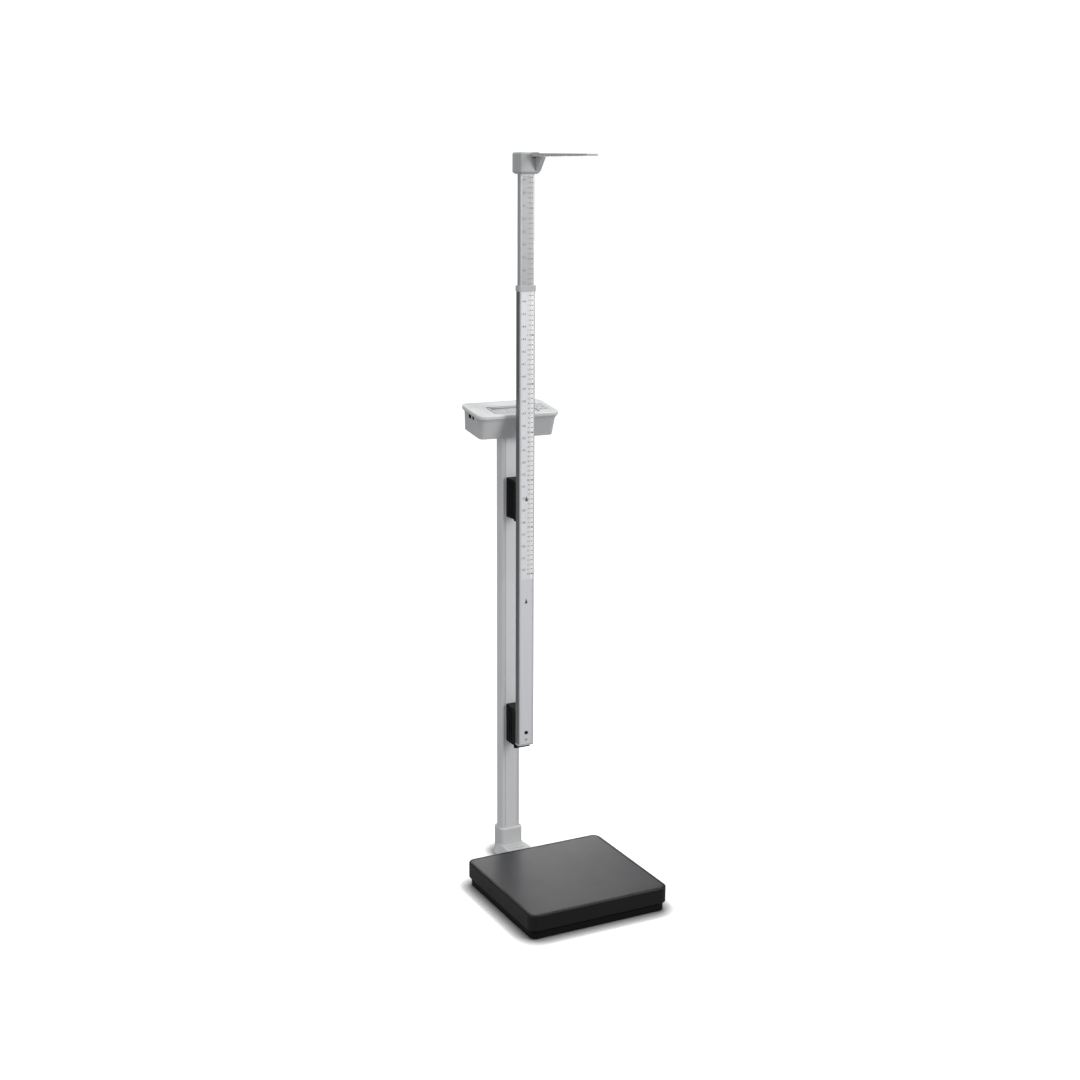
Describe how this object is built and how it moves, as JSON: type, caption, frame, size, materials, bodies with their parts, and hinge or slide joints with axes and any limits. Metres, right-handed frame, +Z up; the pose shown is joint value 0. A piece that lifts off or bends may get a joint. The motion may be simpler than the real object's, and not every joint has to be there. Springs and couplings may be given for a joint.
{
  "type": "column scale with height rod",
  "caption": "Electronic column weighing scale: low rounded platform, upright column, tilted indicator head and a telescoping height rod with a fold-up measuring arm.",
  "frame": {"origin": "on the floor, in the middle of the footprint", "axes": "+Z up, +Y from the platform towards the column (the way the user faces), +X to the right of someone who stands in front of the platform and looks at the column"},
  "size_m": [0.316, 0.4685, 1.516],
  "materials": {
    "cover_black": "fine-grained moulded",
    "mat_rubber": "ribbed, matte",
    "tray_black": "moulded",
    "steel": "zinc plated",
    "cell_aluminium": "machined",
    "foot_rubber": "moulded",
    "board_green": "solder mask",
    "cover_grey": "moulded",
    "column_paint": "satin powder coat",
    "bracket_black": "moulded",
    "rod_white": "satin",
    "rod_aluminium": "satin anodised",
    "bush_white": "moulded",
    "tape_white": "printed ruler",
    "screw_black": "black oxide",
    "rivet_grey": "plain",
    "arm_plastic": "moulded",
    "head_grey": "fine-grained moulded",
    "window_clear": "clear acrylic",
    "lcd": "liquid-crystal panel",
    "lcd_frame": "pressed",
    "key_blue": "moulded",
    "key_rubber": "silicone",
    "port_black": "moulded",
    "battery_skin": "plain sleeve",
    "lead_black": "extruded sheath"
  },
  "bodies": {
    "base": {"platform_cover": "cover_black", "platform_mat": "mat_rubber", "load_plate": "steel", "load_cells": "cell_aluminium", "load_buttons": "foot_rubber", "base_tray": "tray_black", "junction_board": "board_green", "bridge_plate": "steel", "bridge_screws": "steel", "bridge_cover": "cover_grey", "foot_bolts": "steel", "rear_pads": "foot_rubber", "column_boot": "cover_grey", "column_tube": "column_paint", "upper_rod_bracket": "bracket_black", "lower_rod_bracket": "bracket_black", "bracket_screws": "steel", "rod_outer": "rod_white", "rod_screws": "steel", "rod_collar": "bush_white", "rod_bottom_cap": "bush_white", "rod_stop_screw": "screw_black", "cap_rivet": "rivet_grey", "scale_tape_outer": "tape_white", "head_bracket": "steel", "head_bracket_screws": "steel", "head_lower_housing": "head_grey", "head_upper_housing": "head_grey", "display_window": "window_clear", "display_glass": "lcd", "display_module": "lcd_frame", "keypad_mat": "key_rubber", "keypad_board": "board_green", "main_board": "board_green", "data_port": "port_black", "power_jack": "port_black", "battery_holder": "port_black", "batteries": "battery_skin", "signal_lead": "lead_black"},
    "foot_1": {"foot_stem_1": "steel", "foot_pad_1": "foot_rubber"},
    "foot_2": {"foot_stem_2": "steel", "foot_pad_2": "foot_rubber"},
    "foot_3": {"foot_stem_3": "steel", "foot_pad_3": "foot_rubber"},
    "foot_4": {"foot_stem_4": "steel", "foot_pad_4": "foot_rubber"},
    "height_slide": {"rod_inner": "rod_aluminium", "scale_tape_inner": "tape_white", "rod_glide": "bush_white", "head_block": "arm_plastic", "arm_pin": "steel"},
    "arm": {"measuring_arm": "arm_plastic"},
    "key_body_1": {"key_1": "key_blue"},
    "key_body_2": {"key_2": "key_blue"},
    "key_body_3": {"key_3": "key_blue"},
    "key_body_4": {"key_4": "key_blue"},
    "key_body_5": {"key_5": "key_blue"},
    "key_body_6": {"key_6": "key_blue"},
    "battery_door": {"battery_cover": "head_grey"}
  },
  "joints": [
    {"name": "foot_1_turn", "type": "hinge", "parent": "base", "child": "foot_1", "pos_m": [-0.124, -0.20025, 0], "axis": [0, 0, 1], "continuous": true},
    {"name": "foot_2_turn", "type": "hinge", "parent": "base", "child": "foot_2", "pos_m": [-0.124, 0.03675, 0], "axis": [0, 0, 1], "continuous": true},
    {"name": "foot_3_turn", "type": "hinge", "parent": "base", "child": "foot_3", "pos_m": [0.124, -0.20025, 0], "axis": [0, 0, 1], "continuous": true},
    {"name": "foot_4_turn", "type": "hinge", "parent": "base", "child": "foot_4", "pos_m": [0.124, 0.03675, 0], "axis": [0, 0, 1], "continuous": true},
    {"name": "height_slide", "type": "slide", "parent": "base", "child": "height_slide", "axis": [0, 0, 1], "range_m": [-0.215, 0.666]},
    {"name": "arm_fold", "type": "hinge", "parent": "height_slide", "child": "arm", "pos_m": [0.011, 0.09955, 1.5106], "axis": [-1, 0, 0], "range_deg": [0, 95]},
    {"name": "key_1_press", "type": "slide", "parent": "base", "child": "key_body_1", "axis": [0, 0.1564, -0.9877], "range_m": [0, 0.001], "stiffness_N_per_m": 500},
    {"name": "key_2_press", "type": "slide", "parent": "base", "child": "key_body_2", "axis": [0, 0.1564, -0.9877], "range_m": [0, 0.001], "stiffness_N_per_m": 500},
    {"name": "key_3_press", "type": "slide", "parent": "base", "child": "key_body_3", "axis": [0, 0.1564, -0.9877], "range_m": [0, 0.001], "stiffness_N_per_m": 500},
    {"name": "key_4_press", "type": "slide", "parent": "base", "child": "key_body_4", "axis": [0, 0.1564, -0.9877], "range_m": [0, 0.001], "stiffness_N_per_m": 500},
    {"name": "key_5_press", "type": "slide", "parent": "base", "child": "key_body_5", "axis": [0, 0.1564, -0.9877], "range_m": [0, 0.001], "stiffness_N_per_m": 500},
    {"name": "key_6_press", "type": "slide", "parent": "base", "child": "key_body_6", "axis": [0, 0.1564, -0.9877], "range_m": [0, 0.001], "stiffness_N_per_m": 500},
    {"name": "battery_door_slide", "type": "slide", "parent": "base", "child": "battery_door", "axis": [0, 0.9877, 0.1564], "range_m": [0, 0.05]}
  ]
}
